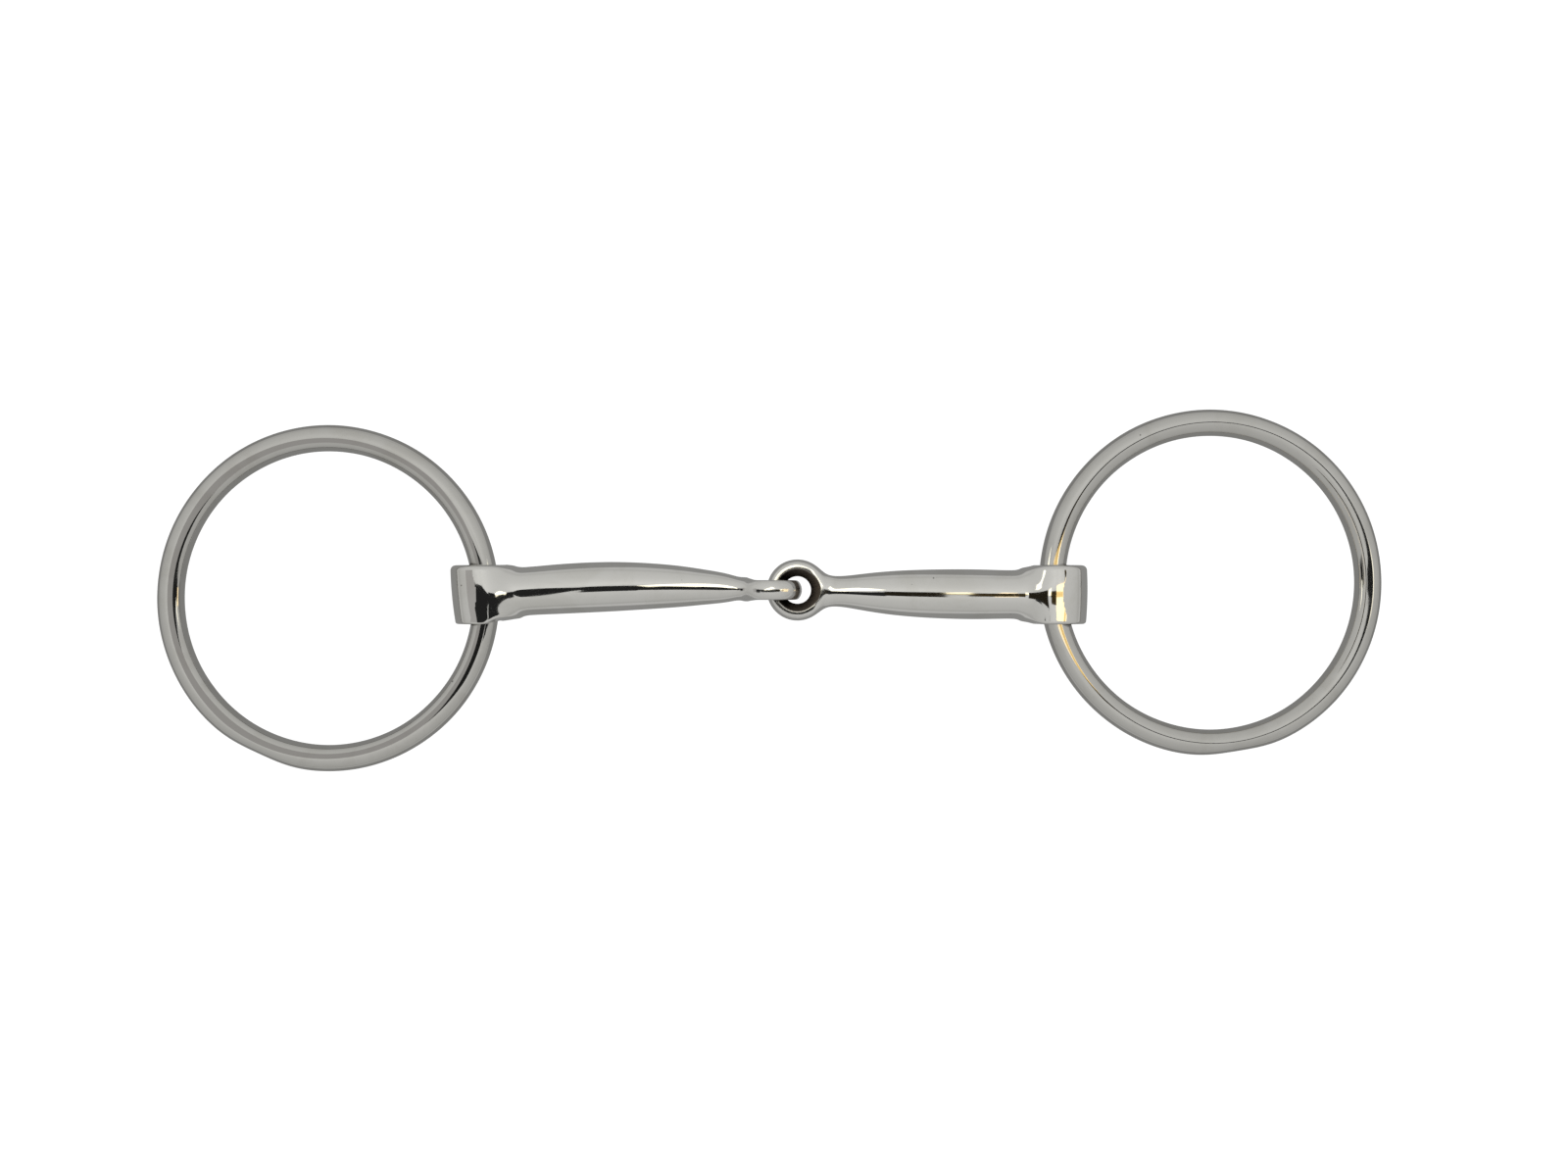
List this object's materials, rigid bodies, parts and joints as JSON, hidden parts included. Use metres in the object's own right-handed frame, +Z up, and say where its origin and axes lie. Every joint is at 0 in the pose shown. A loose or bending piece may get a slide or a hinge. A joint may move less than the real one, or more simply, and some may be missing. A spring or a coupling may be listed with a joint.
{
  "type": "snaffle bit",
  "caption": "Loose-ring single-jointed snaffle bit in polished stainless steel: two round cheek rings and a tapering two-arm mouthpiece linked by interlocked eyes.",
  "frame": {"origin": "on the surface that the bit lies on, below the middle of the whole bit's outline", "axes": "+X along the mouthpiece towards the right ring, +Y across it in the plane of the surface, +Z up from the surface"},
  "size_m": [0.2704, 0.0796, 0.0141],
  "materials": {
    "left_ring_steel": "mirror polished stainless steel bar, lightly scuffed",
    "right_ring_steel": "mirror polished stainless steel bar, lightly scuffed",
    "left_cannon_steel": "hand polished cast stainless steel with fine pits",
    "right_cannon_steel": "hand polished cast stainless steel with fine pits"
  },
  "bodies": {
    "left_cannon": {"left_cannon": "left_cannon_steel"},
    "right_cannon": {"right_cannon": "right_cannon_steel"},
    "left_ring": {"left_ring": "left_ring_steel"},
    "right_ring": {"right_ring": "right_ring_steel"}
  },
  "joints": [
    {"name": "mouthpiece_fold", "type": "hinge", "parent": "left_cannon", "child": "right_cannon", "pos_m": [0.00046, 0.0001, 0.00705], "axis": [0, 1, 0], "range_deg": [-140, 140]},
    {"name": "left_ring_swing", "type": "hinge", "parent": "left_cannon", "child": "left_ring", "pos_m": [-0.06239, -0.0009, 0.00705], "axis": [0, 1, 0], "range_deg": [-165, 165]},
    {"name": "right_ring_swing", "type": "hinge", "parent": "right_cannon", "child": "right_ring", "pos_m": [0.06261, -0.0009, 0.00705], "axis": [0, 1, 0], "range_deg": [-105, 105]}
  ]
}
